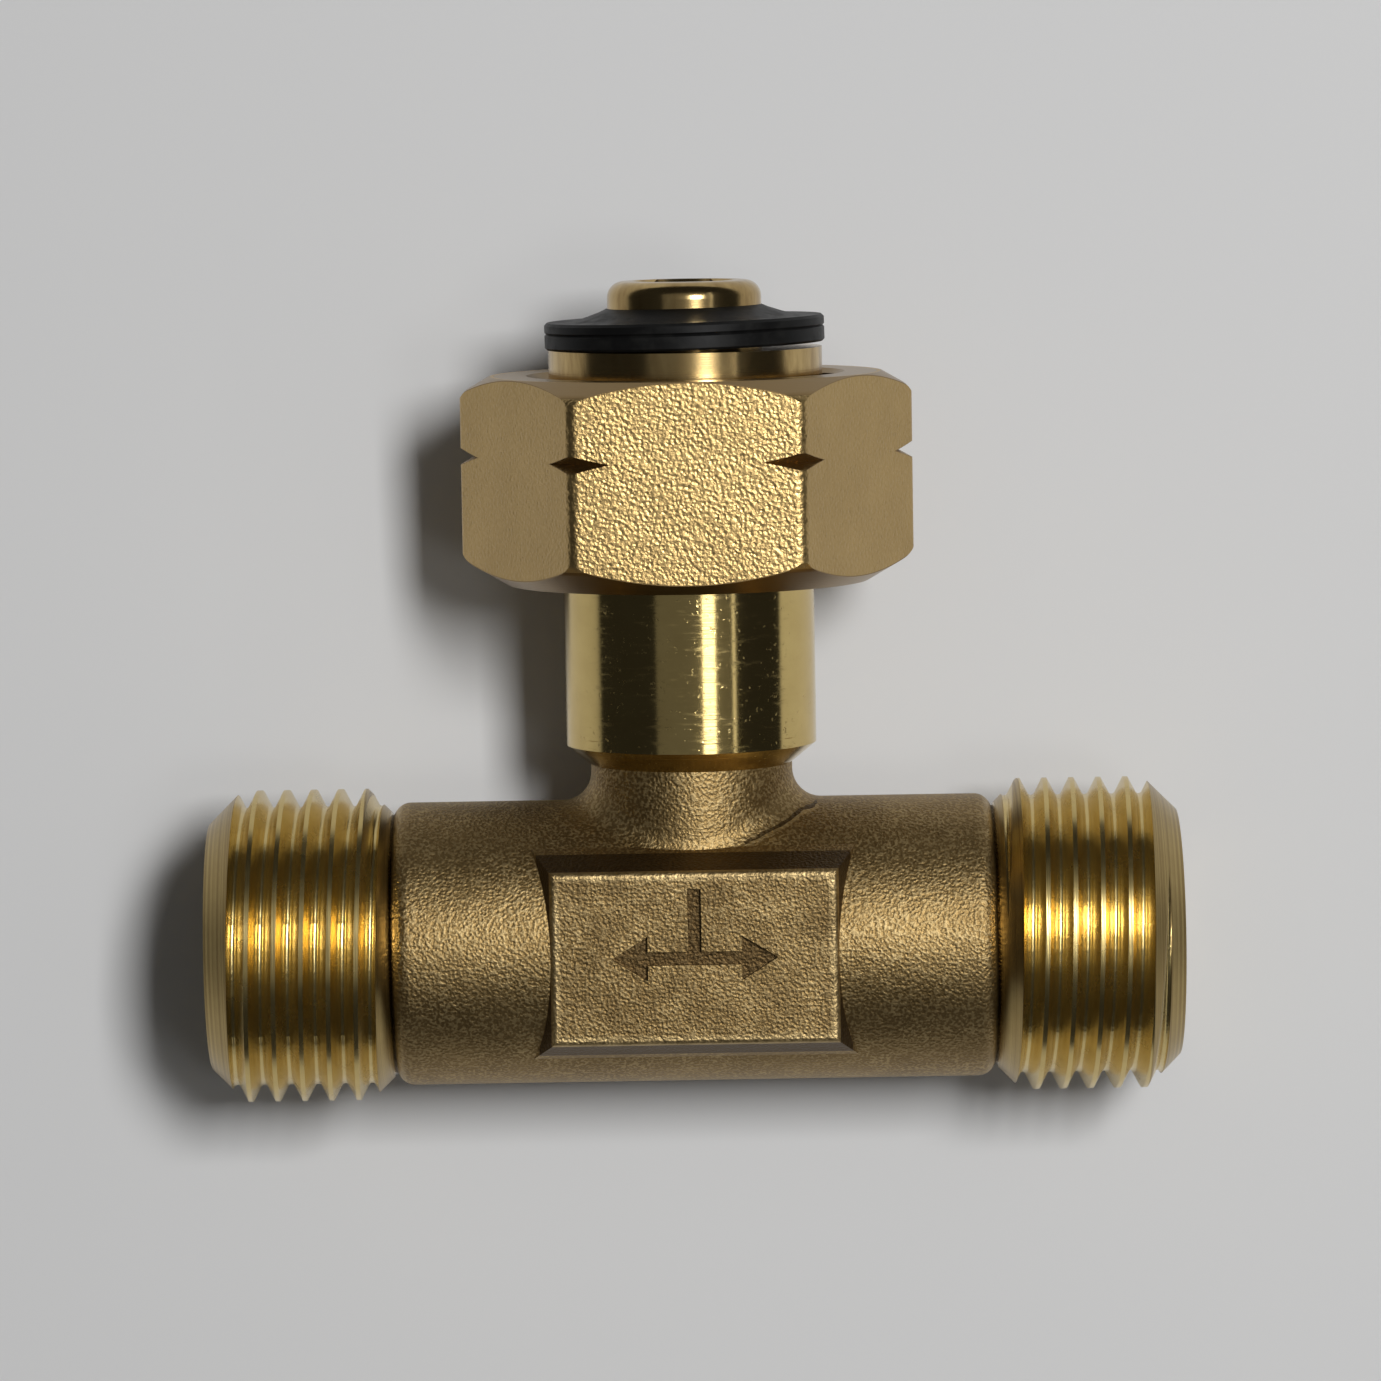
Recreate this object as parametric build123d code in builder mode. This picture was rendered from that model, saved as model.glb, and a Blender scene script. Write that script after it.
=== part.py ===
from build123d import *

# Inlet tee for bottled gas. A union nut on the branch screws onto a cylinder valve, two male
# outlets leave along the run, and a spring-loaded non-return valve sits in the branch. All
# sizes are in millimetres.
#
# Frame: the origin is on the branch axis, in the plane of the nipple's collar that the
# sealing ring seats on. +Y leaves through the inlet, +X runs along the run to the right
# outlet, and +Z leaves the face of the marking pad.
#
# Heights named *_height are measured along the branch, from the run axis.

import os
from math import ceil, cos, radians, sin, sqrt, tan

os.makedirs("parts", exist_ok=True)

# ---------------------------------------------------------------- connection thread
# G 1/2 left-hand, with Whitworth's flank angle, depth and rounded root.
thread_diameter = 20.955
threads_per_inch = 14
thread_flank_angle = 27.5
thread_depth_in_pitches = 0.6403
thread_root_rounding = 0.249
thread_overcut = 0.12

thread_pitch = 25.4 / threads_per_inch
thread_radius = thread_diameter / 2
thread_root_radius = thread_radius - thread_depth_in_pitches * thread_pitch

# ---------------------------------------------------------------- run of the tee body
run_length = 65.0
barrel_diameter = 19.0
barrel_length = 40.1
barrel_edge_radius = 1.2
relief_diameter = 17.4
spigot_chamfer = 2.2
passage_diameter = 6.0

run_half = run_length / 2
barrel_half = barrel_length / 2
barrel_radius = barrel_diameter / 2
relief_radius = relief_diameter / 2
passage_radius = passage_diameter / 2

# ---------------------------------------------------------------- outlet sockets
socket_diameter = 11.5
socket_depth = 5.0
socket_lead_in = 0.5
outlet_seal_diameter = 14.0
outlet_seal_bore = 6.4
outlet_seal_thickness = 3.0

socket_radius = socket_diameter / 2
seal_groove_outer = run_half - socket_depth
seal_groove_inner = seal_groove_outer - outlet_seal_thickness

# ---------------------------------------------------------------- marking pad
pad_length = 18.8
pad_width = 11.3
pad_height = 9.8
pad_depth = 4.0
pad_draft = 22.0
pad_edge_radius = 0.35
mark_depth = 0.45
mark_stroke = 0.9
mark_span = 11.0
mark_rise = 4.6
mark_arrow_length = 2.4
mark_arrow_width = 3.0

# ---------------------------------------------------------------- branch of the tee body
neck_diameter = 13.5
neck_height = 12.0
neck_fillet = 2.0
stub_diameter = 16.8
stub_cone_length = 1.35
seat_height = 39.8
collar_diameter = 18.3
collar_thickness = 3.0

neck_radius = neck_diameter / 2
stub_radius = stub_diameter / 2
collar_radius = collar_diameter / 2
stub_foot_height = neck_height + stub_cone_length
stub_top_height = seat_height - collar_thickness

# ---------------------------------------------------------------- inlet nipple
nose_diameter = 10.3
nose_length = 4.5
nose_edge_radius = 1.1
key_across_flats = 6.0
key_depth = 6.0
key_lead_in = 0.4
nipple_bore = 5.2
nipple_thread_diameter = 14.0
nipple_thread_end_chamfer = 0.6
nipple_reach = 8.5
thread_play = 0.02
seat_rim_width = 0.8
seat_rim_height = 0.5

nose_radius = nose_diameter / 2
nose_top_height = seat_height + nose_length
nipple_thread_radius = nipple_thread_diameter / 2
nipple_foot_height = stub_top_height - nipple_reach
valve_seat_height = nipple_foot_height - seat_rim_height

# ---------------------------------------------------------------- seals
o_ring_cord = 1.4
o_ring_squeeze = 0.01
o_ring_inner_diameter = 12.4
sealing_ring_diameter = 18.7
sealing_ring_rim = 1.8
sealing_ring_height = 2.6
sealing_ring_dish = 0.25
ring_play = 0.02

o_ring_inner_radius = o_ring_inner_diameter / 2
o_ring_outer_radius = o_ring_inner_radius + o_ring_cord

# ---------------------------------------------------------------- non-return valve
chamber_diameter = 12.0
chamber_floor_height = 13.5
funnel_diameter = 10.0
poppet_diameter = 10.4
poppet_head_thickness = 2.6
poppet_seal_diameter = 8.8
poppet_seal_thickness = 1.2
poppet_seal_stand_out = 0.4
stem_diameter = 3.0
stem_length = 12.0
stem_clearance = 0.08
guide_thickness = 2.5
guide_hub_diameter = 6.4
guide_arm_width = 2.0
guide_arm_count = 3
guide_clearance = 0.05
spring_wire = 0.5
spring_diameter = 5.6
spring_turns = 5

chamber_radius = chamber_diameter / 2
funnel_radius = funnel_diameter / 2
guide_top_height = chamber_floor_height + guide_thickness
poppet_top_height = valve_seat_height - poppet_seal_stand_out
poppet_back_height = poppet_top_height - poppet_head_thickness

# ---------------------------------------------------------------- union nut
nut_across_flats = 26.4
nut_thickness = 13.9
nut_corner_radius = 0.9
nut_chamfer_angle = 30.0
nut_top_chamfer_circle = 26.3
nut_foot_chamfer_circle = 24.2
nut_chamfer_rounding = 1.5
nut_floor = 3.5
nut_clearance = 0.15
nut_hole_lead_in = 0.4
nut_thread_bore = 19.0
nut_relief_diameter = 21.3
nut_relief_length = 1.8
nut_setback = 1.7
nut_mark_offset = 8.6
nut_mark_width = 1.1
nut_mark_depth = 1.0

nut_hole_radius = stub_radius + nut_clearance
nut_bore_radius = nut_thread_bore / 2
nut_relief_radius = nut_relief_diameter / 2
nut_top_height = seat_height - nut_setback
nut_rest_height = nut_top_height - nut_thickness

# ---------------------------------------------------------------- planes and axes
run_y = -seat_height
section = Plane(origin=(0, run_y, 0))
run_axis = Axis((0, run_y, 0), (1, 0, 0))
branch_axis = Axis((0, run_y, 0), (0, 1, 0))


def across_branch(height):
    """The plane across the branch at a height, looking out through the inlet."""
    return Plane(origin=(0, run_y + height, 0), x_dir=(1, 0, 0), z_dir=(0, 1, 0))


def across_run(place, side):
    """The plane across the run at a distance from the branch axis, looking outward."""
    return Plane(origin=(side * place, run_y, 0), x_dir=(0, -1, 0), z_dir=(side, 0, 0))


def thread_groove(tip_radius, mouth_radius):
    """One left-hand turn of the thread's groove about +Z, from its rounded tip to past its mouth."""
    flank = radians(thread_flank_angle)
    outward = 1 if mouth_radius > tip_radius else -1
    half_tip = thread_root_rounding * cos(flank)
    flank_start = tip_radius + outward * thread_root_rounding * (1 - sin(flank))
    half_mouth = half_tip + abs(mouth_radius - flank_start) * tan(flank)
    with BuildPart() as turn:
        with BuildLine():
            Helix(thread_pitch, thread_pitch, tip_radius, lefthand=True)
        with BuildSketch(Plane.XZ):
            with BuildLine():
                Polyline(
                    (flank_start, -half_tip),
                    (mouth_radius, -half_mouth),
                    (mouth_radius, half_mouth),
                    (flank_start, half_tip),
                )
                ThreePointArc((flank_start, half_tip), (tip_radius, 0), (flank_start, -half_tip))
            make_face()
        sweep(is_frenet=True)
    return turn.part


def groove_turns(turn, start_plane, length):
    """Copies of a groove turn laid end to end from a plane, as many as reach over a length."""
    count = ceil(length / thread_pitch) + 1
    return [turn.moved(start_plane.offset(k * thread_pitch).location) for k in range(count)]


# ================================================================ tee body
with BuildPart() as tee_body:
    # Forged barrel with a rounded edge, relief groove, back cone and spigot, on each side.
    edge_rise = barrel_radius - relief_radius
    edge_run = sqrt(barrel_edge_radius**2 - (barrel_edge_radius - edge_rise) ** 2)
    back_cone = thread_radius - relief_radius
    with BuildSketch(section):
        with BuildLine() as outline:
            Line((0, 0), (0, barrel_radius))
            Line((0, barrel_radius), (barrel_half - edge_run, barrel_radius))
            RadiusArc(
                (barrel_half - edge_run, barrel_radius),
                (barrel_half, relief_radius),
                barrel_edge_radius,
            )
            Polyline(
                (barrel_half, relief_radius),
                (barrel_half + back_cone, thread_radius),
                (run_half - spigot_chamfer, thread_radius),
                (run_half, thread_radius - spigot_chamfer),
                (run_half, 0),
                (0, 0),
            )
        make_face()
        mirror(about=Plane.YZ)
    revolve(axis=run_axis)

    # Forged neck, which flares into the barrel.
    with BuildSketch(across_branch(0)):
        Circle(neck_radius)
    extrude(amount=stub_foot_height)
    fillet(tee_body.edges().filter_by(GeomType.BSPLINE), neck_fillet)

    # Turned stub, with the cone that ends it at the neck.
    with BuildSketch(section):
        with BuildLine():
            Polyline(
                (0, neck_height),
                (neck_radius, neck_height),
                (stub_radius, stub_foot_height),
                (stub_radius, stub_top_height),
                (0, stub_top_height),
                close=True,
            )
        make_face()
    revolve(axis=branch_axis)

    # Marking pad with drafted sides.
    with BuildSketch(Plane(origin=(0, run_y, pad_height))):
        Rectangle(pad_length, pad_width)
    extrude(amount=-pad_depth, taper=-pad_draft)
    pad_face = tee_body.faces().filter_by(Axis.Z).sort_by(Axis.Z)[-1]
    fillet(pad_face.edges(), pad_edge_radius)

    # Flow mark: the inlet's stem parts into an arrow towards each outlet.
    with BuildSketch(Plane(origin=(0, run_y, pad_height))):
        Rectangle(mark_span - 2 * mark_arrow_length, mark_stroke)
        with Locations((0, mark_rise / 2)):
            Rectangle(mark_stroke, mark_rise)
        with BuildLine():
            Polyline(
                (mark_span / 2, 0),
                (mark_span / 2 - mark_arrow_length, mark_arrow_width / 2),
                (mark_span / 2 - mark_arrow_length, -mark_arrow_width / 2),
                close=True,
            )
        make_face()
        mirror(about=Plane.YZ)
    extrude(amount=-mark_depth, mode=Mode.SUBTRACT)

    # Passage along the run, groove for the outlet seal and socket, on each side.
    with BuildSketch(section):
        with BuildLine():
            Polyline(
                (0, 0),
                (0, passage_radius),
                (seal_groove_inner, passage_radius),
                (seal_groove_inner, outlet_seal_diameter / 2),
                (seal_groove_outer, outlet_seal_diameter / 2),
                (seal_groove_outer, socket_radius),
                (run_half - socket_lead_in, socket_radius),
                (run_half, socket_radius + socket_lead_in),
                (run_half, 0),
                close=True,
            )
        make_face()
        mirror(about=Plane.YZ)
    revolve(axis=run_axis, mode=Mode.SUBTRACT)

    # Branch bore: passage, funnel, valve chamber, nipple thread and O-ring counterbore.
    with BuildSketch(section):
        with BuildLine():
            Polyline(
                (0, 0),
                (passage_radius, 0),
                (passage_radius, chamber_floor_height - funnel_radius + passage_radius),
                (funnel_radius, chamber_floor_height),
                (chamber_radius, chamber_floor_height),
                (chamber_radius, nipple_foot_height),
                (nipple_thread_radius, nipple_foot_height),
                (nipple_thread_radius, stub_top_height - o_ring_cord),
                (o_ring_outer_radius, stub_top_height - o_ring_cord),
                (o_ring_outer_radius, stub_top_height),
                (0, stub_top_height),
                close=True,
            )
        make_face()
    revolve(axis=branch_axis, mode=Mode.SUBTRACT)

    # Left-hand connection thread on both spigots, run out over the relief groove.
    outer_turn = thread_groove(thread_root_radius, thread_radius + thread_overcut)
    for side in (1, -1):
        start = across_run(barrel_half, side)
        turns = groove_turns(outer_turn, start, run_half - barrel_half)
        add(turns, mode=Mode.SUBTRACT)
tee_body.part.label = "tee_body"
export_step(tee_body.part, "parts/tee_body.step")

# ================================================================ outlet seals
for name, side in (("outlet_seal_right", 1), ("outlet_seal_left", -1)):
    with BuildPart() as outlet_seal:
        with BuildSketch(across_run(seal_groove_inner, side)):
            Circle(outlet_seal_diameter / 2 - ring_play)
            Circle(outlet_seal_bore / 2, mode=Mode.SUBTRACT)
        extrude(amount=outlet_seal_thickness)
    outlet_seal.part.label = name
    export_step(outlet_seal.part, f"parts/{name}.step")

# ================================================================ inlet nipple
with BuildPart() as inlet_nipple:
    with BuildSketch(section):
        with BuildLine():
            Polyline(
                (0, valve_seat_height),
                (nipple_bore / 2 + seat_rim_width, valve_seat_height),
                (nipple_bore / 2 + seat_rim_width + seat_rim_height, nipple_foot_height),
                (
                    nipple_thread_radius - thread_play - nipple_thread_end_chamfer,
                    nipple_foot_height,
                ),
                (
                    nipple_thread_radius - thread_play,
                    nipple_foot_height + nipple_thread_end_chamfer,
                ),
                (nipple_thread_radius - thread_play, stub_top_height - 1.5 * o_ring_cord),
                (o_ring_inner_radius, stub_top_height - 1.5 * o_ring_cord),
                (o_ring_inner_radius, stub_top_height),
                (collar_radius, stub_top_height),
                (collar_radius, seat_height),
                (nose_radius, seat_height),
                (nose_radius, nose_top_height - nose_edge_radius),
            )
            RadiusArc(
                (nose_radius, nose_top_height - nose_edge_radius),
                (nose_radius - nose_edge_radius, nose_top_height),
                -nose_edge_radius,
            )
            Polyline(
                (nose_radius - nose_edge_radius, nose_top_height),
                (0, nose_top_height),
                (0, valve_seat_height),
            )
        make_face()
    revolve(axis=branch_axis)

    # Gas passage, and the hexagon socket that the nipple is screwed in by.
    with BuildSketch(across_branch(valve_seat_height)):
        Circle(nipple_bore / 2)
    extrude(amount=nose_top_height - valve_seat_height, mode=Mode.SUBTRACT)
    with BuildSketch(across_branch(nose_top_height)):
        RegularPolygon(key_across_flats / 2, 6, major_radius=False)
    extrude(amount=-key_depth, mode=Mode.SUBTRACT)
    with BuildSketch(across_branch(nose_top_height)):
        Circle(key_across_flats / 2 + key_lead_in)
    extrude(amount=-key_lead_in, taper=45, mode=Mode.SUBTRACT)
inlet_nipple.part.label = "inlet_nipple"
export_step(inlet_nipple.part, "parts/inlet_nipple.step")

# ================================================================ nipple O-ring
with BuildPart() as nipple_o_ring:
    with BuildSketch(section):
        with Locations((o_ring_inner_radius + o_ring_cord / 2, stub_top_height - o_ring_cord / 2)):
            Circle(o_ring_cord / 2 - o_ring_squeeze)
    revolve(axis=branch_axis)
nipple_o_ring.part.label = "nipple_o_ring"
export_step(nipple_o_ring.part, "parts/nipple_o_ring.step")

# ================================================================ sealing ring
with BuildPart() as sealing_ring:
    ring_outer = sealing_ring_diameter / 2
    ring_inner = nose_radius + ring_play
    rim_height = seat_height + sealing_ring_rim
    lip_height = seat_height + sealing_ring_height
    with BuildSketch(section):
        with BuildLine():
            Polyline(
                (ring_inner, lip_height),
                (ring_inner, seat_height),
                (ring_outer, seat_height),
                (ring_outer, rim_height),
            )
            ThreePointArc(
                (ring_outer, rim_height),
                (
                    (ring_outer + ring_inner) / 2,
                    (rim_height + lip_height) / 2 - sealing_ring_dish,
                ),
                (ring_inner, lip_height),
            )
        make_face()
    revolve(axis=branch_axis)
sealing_ring.part.label = "sealing_ring"
export_step(sealing_ring.part, "parts/sealing_ring.step")

# ================================================================ valve poppet
with BuildPart() as check_poppet:
    with BuildSketch(across_branch(poppet_back_height)):
        Circle(poppet_diameter / 2)
    extrude(amount=poppet_head_thickness)
    with BuildSketch(across_branch(poppet_back_height)):
        Circle(stem_diameter / 2)
    extrude(amount=-stem_length)
    seal_floor_height = valve_seat_height - poppet_seal_thickness
    with BuildSketch(across_branch(seal_floor_height)):
        Circle(poppet_seal_diameter / 2)
    extrude(amount=poppet_top_height - seal_floor_height, mode=Mode.SUBTRACT)
check_poppet.part.label = "check_poppet"
export_step(check_poppet.part, "parts/check_poppet.step")

# ================================================================ poppet seal
with BuildPart() as poppet_seal:
    with BuildSketch(across_branch(seal_floor_height)):
        Circle(poppet_seal_diameter / 2 - ring_play)
    extrude(amount=poppet_seal_thickness)
poppet_seal.part.label = "poppet_seal"
export_step(poppet_seal.part, "parts/poppet_seal.step")

# ================================================================ spring guide
with BuildPart() as spring_guide:
    guide_radius = chamber_radius - guide_clearance
    with BuildSketch(across_branch(chamber_floor_height)):
        Circle(guide_radius)
        Circle(funnel_radius, mode=Mode.SUBTRACT)
        with PolarLocations(0, guide_arm_count):
            Rectangle(
                (guide_radius + funnel_radius) / 2,
                guide_arm_width,
                align=(Align.MIN, Align.CENTER),
            )
        Circle(guide_hub_diameter / 2)
        Circle(stem_diameter / 2 + stem_clearance, mode=Mode.SUBTRACT)
    extrude(amount=guide_thickness)
spring_guide.part.label = "spring_guide"
export_step(spring_guide.part, "parts/spring_guide.step")

# ================================================================ spring
with BuildPart() as check_spring:
    spring_length = poppet_back_height - guide_top_height - spring_wire
    with BuildLine():
        coil = Helix(
            spring_length / spring_turns,
            spring_length,
            spring_diameter / 2,
            center=(0, run_y + guide_top_height + spring_wire / 2, 0),
            direction=(0, 1, 0),
        )
    with BuildSketch(Plane(origin=coil @ 0, z_dir=coil % 0)):
        Circle(spring_wire / 2)
    sweep(is_frenet=True)
check_spring.part.label = "check_spring"
export_step(check_spring.part, "parts/check_spring.step")

# ================================================================ union nut
with BuildPart() as union_nut:
    with BuildSketch(across_branch(nut_rest_height)) as hexagon:
        RegularPolygon(nut_across_flats / 2, 6, major_radius=False)
        fillet(hexagon.vertices(), nut_corner_radius)
    extrude(amount=nut_thickness)

    # Both ends are chamfered to a circle, and the chamfers round off into the corners.
    corner_radius = nut_across_flats / sqrt(3)
    top_circle_radius = nut_top_chamfer_circle / 2
    foot_circle_radius = nut_foot_chamfer_circle / 2
    top_chamfer = (corner_radius - top_circle_radius) * tan(radians(nut_chamfer_angle))
    foot_chamfer = (corner_radius - foot_circle_radius) * tan(radians(nut_chamfer_angle))
    with BuildSketch(section) as chamfer_outline:
        with BuildLine():
            Polyline(
                (0, nut_rest_height),
                (foot_circle_radius, nut_rest_height),
                (corner_radius, nut_rest_height + foot_chamfer),
                (corner_radius, nut_top_height - top_chamfer),
                (top_circle_radius, nut_top_height),
                (0, nut_top_height),
                close=True,
            )
        make_face()
        fillet(chamfer_outline.vertices().sort_by(Axis.X)[-2:], nut_chamfer_rounding)
    revolve(axis=branch_axis, mode=Mode.INTERSECT)

    # The notched corners mark a left-hand thread.
    mark_height = nut_rest_height + nut_mark_offset
    rounded_corner = corner_radius - nut_corner_radius * (2 / sqrt(3) - 1)
    mark_mouth = nut_mark_width / 2 * (nut_mark_depth + thread_overcut) / nut_mark_depth
    with BuildSketch(section):
        with BuildLine():
            Polyline(
                (rounded_corner - nut_mark_depth, mark_height),
                (rounded_corner + thread_overcut, mark_height + mark_mouth),
                (rounded_corner + thread_overcut, mark_height - mark_mouth),
                close=True,
            )
        make_face()
    revolve(axis=branch_axis, mode=Mode.SUBTRACT)

    # Stub hole, shoulder, thread relief and thread bore.
    shoulder_height = nut_rest_height + nut_floor
    relief_top_height = shoulder_height + nut_relief_length
    lead_in = nut_relief_radius - nut_bore_radius
    with BuildSketch(section):
        with BuildLine():
            Polyline(
                (0, nut_rest_height),
                (nut_hole_radius + nut_hole_lead_in, nut_rest_height),
                (nut_hole_radius, nut_rest_height + nut_hole_lead_in),
                (nut_hole_radius, shoulder_height),
                (nut_relief_radius, shoulder_height),
                (nut_relief_radius, relief_top_height),
                (nut_bore_radius, relief_top_height + lead_in),
                (nut_bore_radius, nut_top_height - lead_in),
                (nut_relief_radius, nut_top_height),
                (0, nut_top_height),
                close=True,
            )
        make_face()
    revolve(axis=branch_axis, mode=Mode.SUBTRACT)

    inner_turn = thread_groove(thread_radius, nut_bore_radius - thread_overcut)
    start = across_branch(shoulder_height + nut_relief_length / 2)
    add(groove_turns(inner_turn, start, nut_thickness - nut_floor), mode=Mode.SUBTRACT)
union_nut.part.label = "union_nut"
export_step(union_nut.part, "parts/union_nut.step")
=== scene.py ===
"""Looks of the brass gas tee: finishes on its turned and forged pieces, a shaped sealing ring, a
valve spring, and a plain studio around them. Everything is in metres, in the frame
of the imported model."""

import math
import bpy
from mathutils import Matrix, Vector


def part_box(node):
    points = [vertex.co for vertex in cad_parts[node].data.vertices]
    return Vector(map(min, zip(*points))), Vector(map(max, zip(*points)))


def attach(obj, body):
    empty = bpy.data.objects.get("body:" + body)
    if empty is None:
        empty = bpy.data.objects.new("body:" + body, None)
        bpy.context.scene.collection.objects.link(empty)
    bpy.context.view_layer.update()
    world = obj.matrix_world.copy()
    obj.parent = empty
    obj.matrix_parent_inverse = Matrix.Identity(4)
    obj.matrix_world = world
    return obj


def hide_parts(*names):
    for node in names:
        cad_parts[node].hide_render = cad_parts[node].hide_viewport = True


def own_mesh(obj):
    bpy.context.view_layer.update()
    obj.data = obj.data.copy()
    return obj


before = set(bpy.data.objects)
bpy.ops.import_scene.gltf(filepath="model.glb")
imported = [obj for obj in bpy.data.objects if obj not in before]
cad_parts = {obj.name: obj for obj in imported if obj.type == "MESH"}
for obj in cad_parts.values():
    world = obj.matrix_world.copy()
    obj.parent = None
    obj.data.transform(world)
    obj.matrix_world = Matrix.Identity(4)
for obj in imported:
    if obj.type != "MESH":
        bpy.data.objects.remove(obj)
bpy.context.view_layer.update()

import bpy
from mathutils import Matrix, Vector

# ------------------------------------------------------------------ places on the tee
tee_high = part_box("tee_body")[1]
nut_low, nut_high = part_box("union_nut")
ring_low, ring_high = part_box("sealing_ring")

run_axis_y = -0.0398
run_skin = 0.0086
branch_skin = 0.0066
branch_floor = 0.002
barrel_radius = 0.0095
barrel_end = 0.02005
relief_radius = 0.0087
thread_radius = tee_high.z
end_chamfer = 0.0022
chamfer_sum = tee_high.x + thread_radius - end_chamfer
back_cone = barrel_end - relief_radius
neck_top = 0.0120

pad_face = 0.0098
pad_half_length = 0.0094
pad_half_width = 0.00565
pad_foot_half_length = 0.0104
pad_foot_half_width = 0.0067
pad_rim = 0.0006
mark_floor = pad_face - 0.00045
mark_half_length = 0.0056
mark_half_width = 0.0048

lap_start = (0.0034, 0.0072)
lap_slope = math.radians(24)
lap_length = 0.0054

nut_mark = nut_low.y + 0.0086
nut_skin = 0.0128
nut_chamfer_angle = math.radians(30)
flat_distance = nut_high.z
top_chamfer_circle = 0.01315
foot_chamfer_circle = 0.0121
notch_width = 0.0011
notch_depth = 0.0010
notch_bottom = 0.0141

nose_radius = 0.00515
ring_lean = math.radians(-1.1)
smooth_angle = math.radians(40)

# ------------------------------------------------------------------ colours
FORGED_LIGHT = (0.29, 0.195, 0.078, 1.0)
FORGED_DARK = (0.18, 0.115, 0.042, 1.0)
CREASE = (0.07, 0.042, 0.017, 1.0)
RUBBED_AND_HIGHLIGHT = (0.55, 0.41, 0.20, 1.0)
STUB_LIGHT = (0.66, 0.50, 0.20, 1.0)
STUB_DARK = (0.50, 0.36, 0.13, 1.0)
THREAD_LIGHT = (0.72, 0.56, 0.24, 1.0)
THREAD_DARK = (0.57, 0.435, 0.18, 1.0)
CONE_SHADE = (0.25, 0.165, 0.065, 1.0)
NUT_LIGHT = (0.54, 0.375, 0.155, 1.0)
NUT_DARK = (0.42, 0.285, 0.112, 1.0)
NUT_CUT = (0.30, 0.20, 0.085, 1.0)
NUT_NOTCH_SHADE = (0.2, 0.12, 0.05, 1.0)
NIPPLE_LIGHT = (0.58, 0.42, 0.185, 1.0)
NIPPLE_DARK = (0.27, 0.17, 0.065, 1.0)
VALVE_LIGHT = (0.82, 0.62, 0.28, 1.0)
VALVE_DARK = (0.7, 0.5, 0.2, 1.0)
RUBBER = (0.006, 0.006, 0.006, 1.0)
RUBBER_DUST = (0.014, 0.014, 0.013, 1.0)
STEEL_LIGHT = (0.55, 0.55, 0.56, 1.0)
STEEL_DARK = (0.42, 0.42, 0.44, 1.0)
FLOOR_PAINT = (0.76, 0.76, 0.76, 1.0)
ROOM = (0.024, 0.024, 0.024, 1.0)

# ------------------------------------------------------------------ node building


class Tree:
    """A node tree that takes numbers, colours and other nodes' outputs alike."""

    def __init__(self, tree):
        self.tree = tree

    def join(self, output, socket):
        self.tree.links.new(output, socket)

    def feed(self, node, inputs):
        """Sets or links a node's inputs by name or number."""
        for key, value in dict(inputs).items():
            if isinstance(value, bpy.types.NodeSocket):
                self.join(value, node.inputs[key])
            else:
                node.inputs[key].default_value = value

    def add(self, kind, inputs=(), output=0, **settings):
        """Adds a node, feeds it, and returns one of its outputs."""
        node = self.tree.nodes.new("ShaderNode" + kind)
        for name, value in settings.items():
            setattr(node, name, value)
        self.feed(node, inputs)
        return node.outputs[output]

    def group(self, group, inputs):
        """Adds a node that stands for a group, feeds it, and returns its outputs."""
        node = self.tree.nodes.new("ShaderNodeGroup")
        node.node_tree = group
        self.feed(node, inputs)
        return node.outputs

    def math(self, operation, first, second=0.0, third=0.0):
        return self.add("Math", {0: first, 1: second, 2: third}, operation=operation)

    def times(self, first, second):
        return self.math("MULTIPLY", first, second)

    def minus(self, first, second):
        return self.math("SUBTRACT", first, second)

    def times_plus(self, first, second, third):
        """The product of two numbers, plus a third."""
        return self.math("MULTIPLY_ADD", first, second, third)

    def absolute(self, value):
        return self.math("ABSOLUTE", value)

    def below(self, value, limit):
        """A mask of where a number is below its limit."""
        return self.math("LESS_THAN", value, limit)

    def above(self, value, limit):
        """A mask of where a number is above its limit."""
        return self.math("GREATER_THAN", value, limit)

    def near(self, value, middle, reach):
        """A mask of where a number is within reach of a middle."""
        return self.math("COMPARE", value, middle, reach)

    def all_of(self, first, *others):
        """A mask of where all masks overlap."""
        for other in others:
            first = self.times(first, other)
        return first

    def either(self, first, second):
        """A mask of where any of two masks is."""
        return self.math("MAXIMUM", first, second)

    def outside(self, mask):
        """A mask of where another isn't."""
        return self.minus(1.0, mask)

    def mix(self, amount, first, second):
        """Mixes two colours."""
        return self.add("Mix", {0: amount, 6: first, 7: second}, output=2, data_type="RGBA")

    def blend(self, amount, first, second):
        """Mixes two numbers."""
        return self.add("Mix", {0: amount, 2: first, 3: second})

    def ramp(self, value, low, high, bottom=0.0, top=1.0):
        """Maps a range to another, held at both ends."""
        inputs = {"Value": value, 1: low, 2: high, 3: bottom, 4: top}
        return self.add("MapRange", inputs)

    def noise(self, vector, scale, detail=2.0, rough=0.5):
        inputs = {"Vector": vector, "Scale": scale, "Detail": detail, "Roughness": rough}
        return self.add("TexNoise", inputs)

    def stretched(self, vector, scale):
        """Coordinates that are drawn out along the axes with a small scale."""
        return self.add("Mapping", {"Vector": vector, "Scale": scale})

    def split(self, vector):
        """The three coordinates of a vector."""
        return (self.add("SeparateXYZ", {0: vector}, output=k) for k in range(3))

    def radius(self, first, second):
        """Distance from an axis, from the two coordinates across it."""
        return self.math("SQRT", self.times_plus(first, first, self.times(second, second)))


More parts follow.
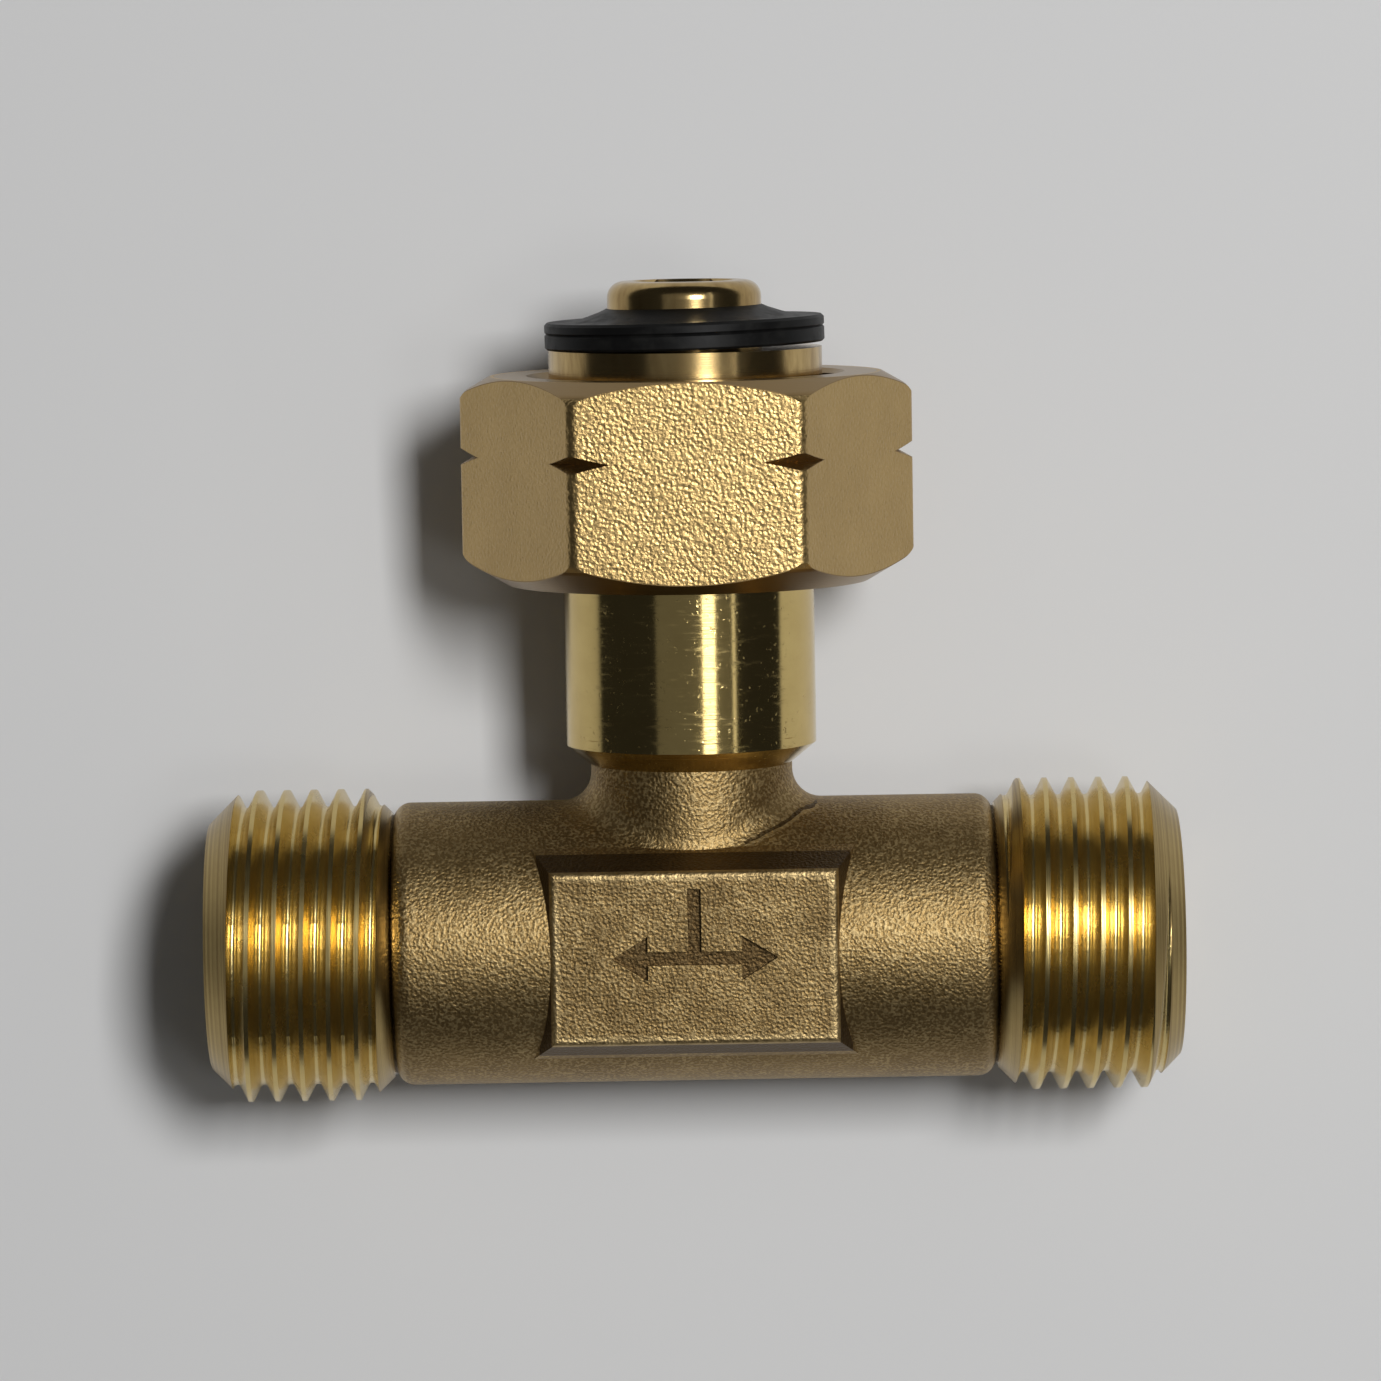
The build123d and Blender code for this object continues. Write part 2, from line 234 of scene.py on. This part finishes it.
def new_group(name, inputs, outputs):
    """A shader node group with named inputs and outputs, and the tree to fill it with."""
    group = bpy.data.node_groups.new(name, "ShaderNodeTree")
    for label, kind, value in inputs:
        socket = group.interface.new_socket(label, in_out="INPUT", socket_type="NodeSocket" + kind)
        if value is not None:
            socket.default_value = value
    for label in outputs:
        group.interface.new_socket(label, in_out="OUTPUT", socket_type="NodeSocketFloat")
    source = group.nodes.new("NodeGroupInput").outputs
    sink = group.nodes.new("NodeGroupOutput").inputs
    return group, Tree(group), source, sink


def blasted_group():
    """Grit-blasted forging skin: small round dents and grit, with a slow unevenness under them."""
    group, tree, source, sink = new_group(
        "blasted skin",
        [("Vector", "Vector", None), ("Grit Scale", "Float", 4200.0), ("Wave Scale", "Float", 260.0)],
        ["Height", "Grit", "Mottle"],
    )
    place = source["Vector"]
    grit = tree.noise(place, source["Grit Scale"])
    dent_scale = tree.times(source["Grit Scale"], 0.8)
    dents = tree.add("TexVoronoi", {"Vector": place, "Scale": dent_scale}, feature="F1")
    wave = tree.noise(place, source["Wave Scale"])
    craters = tree.blend(0.5, tree.ramp(grit, 0.3, 0.7), tree.ramp(dents, 0.1, 0.7))
    tree.join(tree.math("ADD", craters, tree.times(wave, 1.5)), sink["Height"])
    tree.join(craters, sink["Grit"])
    tree.join(tree.ramp(wave, 0.32, 0.68), sink["Mottle"])
    return group


def turned_group():
    """Fine feed lines left by the lathe, along a part's axis and across its end faces."""
    group, tree, source, sink = new_group(
        "turned skin",
        [("Along", "Float", 0.0), ("Radius", "Float", 0.0), ("Lines Scale", "Float", 9000.0)],
        ["Height", "Lines"],
    )
    place = tree.add("CombineXYZ", {0: source["Along"], 1: source["Radius"], 2: 0.0})
    lines = tree.ramp(tree.noise(place, source["Lines Scale"], rough=0.6), 0.3, 0.7)
    tree.join(lines, sink["Height"])
    tree.join(lines, sink["Lines"])
    return group


BLASTED = blasted_group()
TURNED = turned_group()


def new_material(name, **principled):
    """A material with constants on its shader, its tree, its shader and its coordinates."""
    material = bpy.data.materials.new(name)
    material.use_nodes = True
    tree = Tree(material.node_tree)
    shader = material.node_tree.nodes["Principled BSDF"]
    for socket, value in principled.items():
        shader.inputs[socket.replace("_", " ")].default_value = value
    return material, tree, shader, tree.add("TexCoord", output="Object")


def dress(tree, shader, colour, rough, relief=None, depth=0.0):
    """Gives a shader its colour and roughness, and a relief of some depth."""
    tree.join(colour, shader.inputs["Base Color"])
    tree.join(rough, shader.inputs["Roughness"])
    if relief is not None:
        bump = tree.add("Bump", {"Height": relief, "Strength": 1.0, "Distance": depth})
        tree.join(bump, shader.inputs["Normal"])


# ------------------------------------------------------------------ finishes


def tee_material():
    """Blasted skin on the barrel, neck and pad; lathe lines wherever a tool has cut."""
    material, tree, shader, place = new_material("tee brass", Metallic=1.0)
    x, y, z = tree.split(place)
    height = tree.minus(y, run_axis_y)
    off_middle = tree.absolute(height)
    reach = tree.absolute(x)
    from_run = tree.radius(height, z)
    from_branch = tree.radius(x, z)
    in_front = tree.above(z, 0.0)

    inside_branch = tree.all_of(tree.below(from_branch, branch_skin), tree.above(height, branch_floor))
    outer = tree.all_of(tree.above(from_run, run_skin), tree.outside(inside_branch))
    forged = tree.all_of(outer, tree.below(height, neck_top), tree.below(reach, barrel_end))

    skin = tree.group(BLASTED, {"Vector": place, "Grit Scale": 5200.0})
    on_run = tree.above(reach, barrel_end - 0.0001)
    along = tree.blend(on_run, height, reach)
    radius = tree.blend(on_run, from_branch, from_run)
    lines = tree.group(TURNED, {"Along": along, "Radius": radius, "Lines Scale": 6500.0})

    stain = tree.ramp(tree.noise(place, 420.0, detail=3.0, rough=0.6), 0.35, 0.7)
    forged_colour = tree.mix(tree.times(skin["Mottle"], 0.5), FORGED_LIGHT, FORGED_DARK)
    # The highest points of the skin are painted brighter: partly wear from handling, partly painted
    # glints, a painted highlight.
    wear_and_painted_glints = tree.times(tree.ramp(skin["Grit"], 0.58, 0.74), tree.blend(stain, 0.75, 0.3))
    forged_colour = tree.mix(wear_and_painted_glints, forged_colour, RUBBED_AND_HIGHLIGHT)

    # The pad's drafted sides and the floor of its flow mark are darkened with painted shade.
    over_pad = tree.all_of(
        tree.below(reach, pad_foot_half_length), tree.below(off_middle, pad_foot_half_width)
    )
    in_mark = tree.all_of(
        tree.below(z, mark_floor + 0.00025),
        tree.above(z, mark_floor - 0.00005),
        tree.below(reach, mark_half_length),
        tree.below(off_middle, mark_half_width),
    )
    on_pad = tree.all_of(over_pad, in_front, tree.above(from_run, barrel_radius + 0.00006))
    below_face = tree.below(z, pad_face - 0.0003)
    # Painted shade in the pad's recesses.
    scale = tree.either(in_mark, tree.all_of(on_pad, below_face))
    forged_colour = tree.mix(tree.times(scale, 0.85), forged_colour, CREASE)

    # The pad's face is stained, and duller than the barrel.
    on_face = tree.all_of(on_pad, tree.outside(below_face))
    face_stain = tree.times(on_face, tree.blend(stain, 0.12, 0.5))
    forged_colour = tree.mix(face_stain, forged_colour, CREASE)

    # A forging lap runs over the fillet beside the neck's foot, dark with a bright lip.
    lap_x = tree.minus(x, lap_start[0])
    lap_rise = tree.minus(height, lap_start[1])
    cosine = math.cos(lap_slope)
    sine = math.sin(lap_slope)
    lap_along = tree.times_plus(lap_x, cosine, tree.times(lap_rise, sine))
    lap_off = tree.times_plus(lap_x, -sine, tree.times(lap_rise, cosine))
    lap_off = tree.times_plus(tree.noise(place, 700.0), 0.0006, lap_off)
    lap_here = tree.all_of(
        tree.near(lap_along, lap_length / 2, lap_length / 2), in_front, tree.outside(on_pad)
    )
    lap = tree.all_of(lap_here, tree.near(lap_off, 0.0003, 0.00011))
    lip = tree.all_of(lap_here, tree.near(lap_off, 0.0001, 0.00009))
    forged_colour = tree.mix(tree.times(lap, 0.8), forged_colour, CREASE)
    forged_colour = tree.mix(tree.times(lip, 0.6), forged_colour, RUBBED_AND_HIGHLIGHT)

    # The pad's rim is painted bright: partly rubbed where it meets other parts in a bin, partly a
    # painted highlight along the edge.
    past_rim = tree.either(
        tree.minus(reach, pad_half_length - pad_rim), tree.minus(off_middle, pad_half_width - pad_rim)
    )
    rim = tree.all_of(tree.ramp(past_rim, 0.0, pad_rim / 2), tree.above(z, pad_face - 0.00036), on_pad)
    rim = tree.times(rim, tree.blend(stain, 0.95, 0.3))
    forged_colour = tree.mix(rim, forged_colour, RUBBED_AND_HIGHLIGHT)

    # The barrel's rounded ends are painted bright, partly as wear and partly as a painted highlight,
    # and the grooves next to them are painted dark.
    end_wear_and_highlight = tree.times(
        tree.ramp(reach, barrel_end - 0.0007, barrel_end - 0.0003), tree.blend(stain, 0.7, 0.25)
    )
    forged_colour = tree.mix(end_wear_and_highlight, forged_colour, RUBBED_AND_HIGHLIGHT)
    from_barrel_end = tree.absolute(tree.minus(reach, barrel_end))
    groove = tree.all_of(
        tree.ramp(from_barrel_end, 0.0003, 0.0001),
        tree.ramp(from_run, relief_radius + 0.0004, relief_radius + 0.0001),
    )
    # The grooves beside the barrel's ends are painted dark.
    groove_darkening = tree.times(groove, 0.8)
    forged_colour = tree.mix(groove_darkening, forged_colour, CREASE)

    # Stains mottle the stub and the threads, and the threads' crests are rubbed bright.
    on_thread = tree.above(reach, barrel_end + 0.0002)
    worn = tree.all_of(on_thread, tree.ramp(from_run, thread_radius - 0.00012, thread_radius))
    stub_colour = tree.mix(tree.times(stain, 0.35), STUB_LIGHT, STUB_DARK)
    thread_colour = tree.mix(tree.times(stain, 0.6), THREAD_LIGHT, THREAD_DARK)
    cut_colour = tree.mix(on_thread, stub_colour, thread_colour)
    cut_colour = tree.mix(tree.times(worn, 0.5), cut_colour, STUB_LIGHT)
    cut_colour = tree.mix(groove_darkening, cut_colour, CREASE)

    # The chamfers at the run's ends and the cones behind the threads are darkened with painted shade,
    # most between their tool lines.
    on_chamfer = tree.above(tree.math("ADD", reach, from_run), chamfer_sum - 0.00007)
    on_back = tree.all_of(on_thread, tree.near(tree.minus(reach, from_run), back_cone, 0.00008))
    on_cone = tree.either(on_chamfer, on_back)
    cone_shade = tree.times(on_cone, tree.blend(lines["Lines"], 0.95, 0.4))
    cut_colour = tree.mix(cone_shade, cut_colour, CONE_SHADE)

    # Small nicks and scuffs that run round it dull the stub.
    nicks = tree.ramp(tree.noise(place, 2600.0, detail=3.0, rough=0.6), 0.635, 0.72)
    nicks = tree.all_of(nicks, tree.outside(on_run))
    round_the_stub = tree.stretched(place, (0.2, 1.0, 0.2))
    scuffs = tree.ramp(tree.noise(round_the_stub, 3000.0, detail=3.0, rough=0.6), 0.55, 0.7)
    stub_rough = tree.blend(nicks, tree.blend(scuffs, 0.11, 0.24), 0.34)
    turned_rough = tree.blend(on_thread, stub_rough, tree.blend(stain, 0.22, 0.29))
    turned_rough = tree.blend(on_cone, turned_rough, 0.3)
    forged_rough = tree.blend(end_wear_and_highlight, tree.blend(skin["Grit"], 0.4, 0.54), 0.26)
    turned_relief = tree.times_plus(nicks, -0.13, tree.times(lines["Height"], 0.11))
    dress(
        tree,
        shader,
        tree.mix(forged, cut_colour, forged_colour),
        tree.blend(forged, turned_rough, forged_rough),
        tree.blend(forged, turned_relief, skin["Height"]),
        depth=0.00004,
    )
    return material


def nut_material():
    """Blasted flats; chamfers, ends and bore are cut."""
    material, tree, shader, place = new_material("nut brass", Metallic=1.0)
    x, y, z = tree.split(place)
    radius = tree.radius(x, z)
    slope = math.tan(nut_chamfer_angle)
    top_bevel = tree.times(tree.minus(radius, top_chamfer_circle), slope)
    foot_bevel = tree.times(tree.minus(radius, foot_chamfer_circle), slope)
    below_top = tree.minus(tree.minus(nut_high.y, y), top_bevel)
    above_foot = tree.minus(tree.minus(y, nut_low.y), foot_bevel)
    between_bevels = tree.above(tree.math("MINIMUM", below_top, above_foot), 0.00006)
    forged = tree.all_of(between_bevels, tree.above(radius, nut_skin))

    skin = tree.group(BLASTED, {"Vector": place, "Grit Scale": 4300.0})
    lines = tree.group(TURNED, {"Along": y, "Radius": radius})
    forged_colour = tree.mix(tree.times(skin["Mottle"], 0.35), NUT_LIGHT, NUT_DARK)
    # The walls of the notches are darkened with painted shade.
    away = tree.absolute(tree.minus(y, nut_mark))
    wall = tree.times_plus(away, notch_depth / (notch_width / 2), notch_bottom)
    off_wall = tree.absolute(tree.minus(radius, wall))
    notch_shade = tree.all_of(tree.below(away, notch_width / 2 + 0.00002), tree.below(off_wall, 0.00007))
    forged_colour = tree.mix(tree.times(notch_shade, 0.5), forged_colour, NUT_NOTCH_SHADE)
    dress(
        tree,
        shader,
        tree.mix(forged, NUT_CUT, forged_colour),
        tree.blend(forged, 0.3, tree.blend(skin["Grit"], 0.31, 0.42)),
        tree.blend(forged, tree.times(lines["Height"], 0.08), skin["Height"]),
        depth=0.000038,
    )
    return material


def turned_material(name, light, dark, rough):
    """Brass turned about the branch axis."""
    material, tree, shader, place = new_material(name, Metallic=1.0)
    x, y, z = tree.split(place)
    lines = tree.group(TURNED, {"Along": y, "Radius": tree.radius(x, z)})
    drawn_out = tree.stretched(place, (1.0, 0.22, 1.0))
    stain = tree.ramp(tree.noise(drawn_out, 900.0, detail=4.0, rough=0.65), 0.38, 0.68)
    dress(
        tree,
        shader,
        tree.mix(tree.times(stain, 0.7), light, dark),
        tree.blend(stain, rough, rough + 0.08),
        lines["Height"],
        depth=0.0000015,
    )
    return material


def rubber_material():
    """Moulded black rubber with a light bloom of dust."""
    material, tree, shader, place = new_material("black rubber", Metallic=0.0, Specular_IOR_Level=0.14)
    bloom = tree.ramp(tree.noise(place, 900.0, detail=4.0, rough=0.65), 0.45, 0.75)
    dress(
        tree,
        shader,
        tree.mix(bloom, RUBBER, RUBBER_DUST),
        tree.blend(bloom, 0.42, 0.6),
        tree.noise(place, 9000.0),
        depth=0.000004,
    )
    return material


def steel_material():
    """Drawn spring wire."""
    material, tree, shader, place = new_material("spring steel", Metallic=1.0)
    grain = tree.noise(place, 3000.0)
    dress(tree, shader, tree.mix(grain, STEEL_LIGHT, STEEL_DARK), tree.blend(grain, 0.22, 0.34))
    return material


finishes = {
    "tee_body": tee_material(),
    "union_nut": nut_material(),
    "inlet_nipple": turned_material("nipple brass", NIPPLE_LIGHT, NIPPLE_DARK, 0.15),
    "sealing_ring": rubber_material(),
}
valve_brass = turned_material("valve brass", VALVE_LIGHT, VALVE_DARK, 0.25)
for piece in ("check_poppet", "spring_guide"):
    finishes[piece] = valve_brass
for piece in ("nipple_o_ring", "poppet_seal", "outlet_seal_left", "outlet_seal_right"):
    finishes[piece] = finishes["sealing_ring"]
finishes["check_spring"] = steel_material()
for piece, finish in finishes.items():
    for material_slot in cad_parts[piece].material_slots:
        material_slot.material = finish

# ------------------------------------------------------------------ shaped pieces


def turned_piece(name, outline, turns=128):
    """Spins a closed outline, given as radius and height, about the branch axis."""
    bpy.ops.object.select_all(action="DESELECT")
    bpy.ops.mesh.primitive_plane_add(size=0.001, location=(outline[0][0], outline[0][1], 0.0))
    piece = bpy.context.object
    piece.name = name
    bpy.ops.object.transform_apply(location=True, rotation=True, scale=True)
    bpy.ops.object.mode_set(mode="EDIT")
    bpy.ops.mesh.select_all(action="SELECT")
    bpy.ops.mesh.merge(type="CENTER")
    for here, there in zip(outline, outline[1:] + outline[:1]):
        step = (there[0] - here[0], there[1] - here[1], 0.0)
        bpy.ops.mesh.extrude_region_move(TRANSFORM_OT_translate={"value": step})
    bpy.ops.mesh.select_all(action="SELECT")
    bpy.ops.mesh.remove_doubles(threshold=1e-7)
    bpy.ops.mesh.select_all(action="SELECT")
    bpy.ops.mesh.spin(steps=turns, angle=math.tau, center=(0, 0, 0), axis=(0, 1, 0))
    bpy.ops.mesh.select_all(action="SELECT")
    bpy.ops.mesh.remove_doubles(threshold=1e-6)
    bpy.ops.mesh.normals_make_consistent(inside=False)
    bpy.ops.object.mode_set(mode="OBJECT")
    return piece


def sealing_ring_piece():
    """Moulded ring: a grooved rim, a flat land, and a dished rise to the lip round the nose."""
    outer = ring_high.x
    inner = nose_radius + 0.00002
    seat = ring_low.y
    rim = seat + 0.0018
    lip = ring_high.y
    groove = seat + 0.00105
    groove_size = 0.00012
    foot_edge = 0.00015
    rim_edge = 0.00018
    outline = [
        (inner, seat),
        (outer - foot_edge, seat),
        (outer, seat + foot_edge),
        (outer, groove - groove_size),
        (outer - groove_size, groove),
        (outer, groove + groove_size),
        (outer, rim - rim_edge),
        (outer - rim_edge, rim),
        (outer - 0.0011, rim - 0.00004),
        (outer - 0.0021, rim + 0.00006),
        (inner + 0.0013, rim + 0.00030),
        (inner + 0.0005, lip - 0.00022),
        (inner, lip),
    ]
    ring = turned_piece("moulded_sealing_ring", outline)
    # It sits a little askew, lifted on the right.
    bpy.ops.object.mode_set(mode="EDIT")
    bpy.ops.mesh.select_all(action="SELECT")
    bpy.ops.transform.rotate(
        value=ring_lean, orient_axis="Z", center_override=(-outer, seat, 0.0)
    )
    bpy.ops.object.mode_set(mode="OBJECT")
    bpy.ops.object.shade_smooth_by_angle(angle=smooth_angle)
    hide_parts("sealing_ring")
    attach(ring, "tee")
    ring.data.materials.append(finishes["sealing_ring"])


def closing_spring_piece():
    """The valve's spring, which stands on its guide."""
    coil = bpy.data.objects.new("closing_spring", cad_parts["check_spring"].data.copy())
    bpy.context.scene.collection.objects.link(coil)
    bpy.ops.object.select_all(action="DESELECT")
    coil.select_set(True)
    bpy.context.view_layer.objects.active = coil
    bpy.ops.object.mode_set(mode="EDIT")
    bpy.ops.mesh.select_all(action="SELECT")
    bpy.ops.mesh.remove_doubles(threshold=1e-7)
    bpy.ops.object.mode_set(mode="OBJECT")
    bpy.ops.object.shade_smooth_by_angle(angle=smooth_angle)
    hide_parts("check_spring")
    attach(coil, "tee")
    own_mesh(coil)


sealing_ring_piece()
closing_spring_piece()

# ------------------------------------------------------------------ camera
camera_tilt = math.radians(5.4)
camera_roll = math.radians(0.95)
camera_distance = 0.430
look_at = Vector((0.0, -0.0230, 0.0))
sight = Vector((0.0, math.sin(camera_tilt), math.cos(camera_tilt)))
across = Vector((1.0, 0.0, 0.0))
upward = sight.cross(across)


def facing(place, right, up, back):
    """A matrix at a place, with its three axes along three directions."""
    matrix = Matrix((right, up, back)).transposed().to_4x4()
    matrix.translation = place
    return matrix


camera_data = bpy.data.cameras.new("camera")
camera_data.lens = 167.0
camera_data.sensor_width = 36.0
camera_data.clip_start = 0.01
camera = bpy.data.objects.new("camera", camera_data)
bpy.context.scene.collection.objects.link(camera)
camera.matrix_world = facing(
    look_at + camera_distance * sight,
    math.cos(camera_roll) * across - math.sin(camera_roll) * upward,
    math.sin(camera_roll) * across + math.cos(camera_roll) * upward,
    sight,
)
bpy.context.scene.camera = camera

# ------------------------------------------------------------------ floor
# The tee rests on its threads and on the foot of the nut's lower flat.
floor_gap = 0.00002
flat_foot = nut_low.y + (flat_distance - foot_chamfer_circle) * math.tan(nut_chamfer_angle)
arm = flat_foot - run_axis_y
rest_tilt = math.acos(thread_radius / math.hypot(flat_distance, arm)) - math.atan2(arm, flat_distance)
floor_normal = Vector((0.0, math.sin(rest_tilt), math.cos(rest_tilt)))
floor_up = floor_normal.cross(across)
floor_place = Vector((0.0, run_axis_y, 0.0)) - (thread_radius + floor_gap) * floor_normal
bpy.ops.object.select_all(action="DESELECT")
bpy.ops.mesh.primitive_plane_add(size=3.0, location=(0, 0, 0))
floor = bpy.context.object
floor.name = "floor"
floor.data.transform(facing(floor_place, across, floor_up, floor_normal))
floor_material = new_material(
    "floor paint", Roughness=0.9, Base_Color=FLOOR_PAINT, Specular_IOR_Level=0.1
)[0]
floor.data.materials.append(floor_material)

# ------------------------------------------------------------------ light
bpy.context.scene.view_settings.view_transform = "Standard"
world = bpy.data.worlds.new("studio")
bpy.context.scene.world = world
world.use_nodes = True
world.node_tree.nodes["Background"].inputs["Color"].default_value = ROOM


def softbox(name, right, up, width, height, radiance, distance=0.7):
    """A lamp seen from the object at two angles from the line of sight, of an angular size."""
    direction = (
        sight + math.tan(math.radians(right)) * across + math.tan(math.radians(up)) * upward
    ).normalized()
    lamp_right = upward.cross(direction).normalized()
    lamp_up = direction.cross(lamp_right)
    lamp = bpy.data.lights.new(name, "AREA")
    lamp.shape = "RECTANGLE"
    lamp.size = 2 * distance * math.tan(math.radians(width / 2))
    lamp.size_y = 2 * distance * math.tan(math.radians(height / 2))
    lamp.energy = radiance * math.pi * lamp.size * lamp.size_y
    holder = bpy.data.objects.new(name, lamp)
    bpy.context.scene.collection.objects.link(holder)
    holder.visible_camera = False
    holder.matrix_world = facing(look_at + distance * direction, lamp_right, lamp_up, direction)


softbox("key lamp", right=17.5, up=10.5, width=11.0, height=18.5, radiance=34.0)
softbox("low key lamp", right=17.5, up=-10.8, width=11.0, height=8.0, radiance=4.4)
softbox("right panel", right=41.0, up=5.0, width=3.0, height=60.0, radiance=1.1)
softbox("wide panel", right=3.0, up=5.0, width=70.0, height=60.0, radiance=0.12)
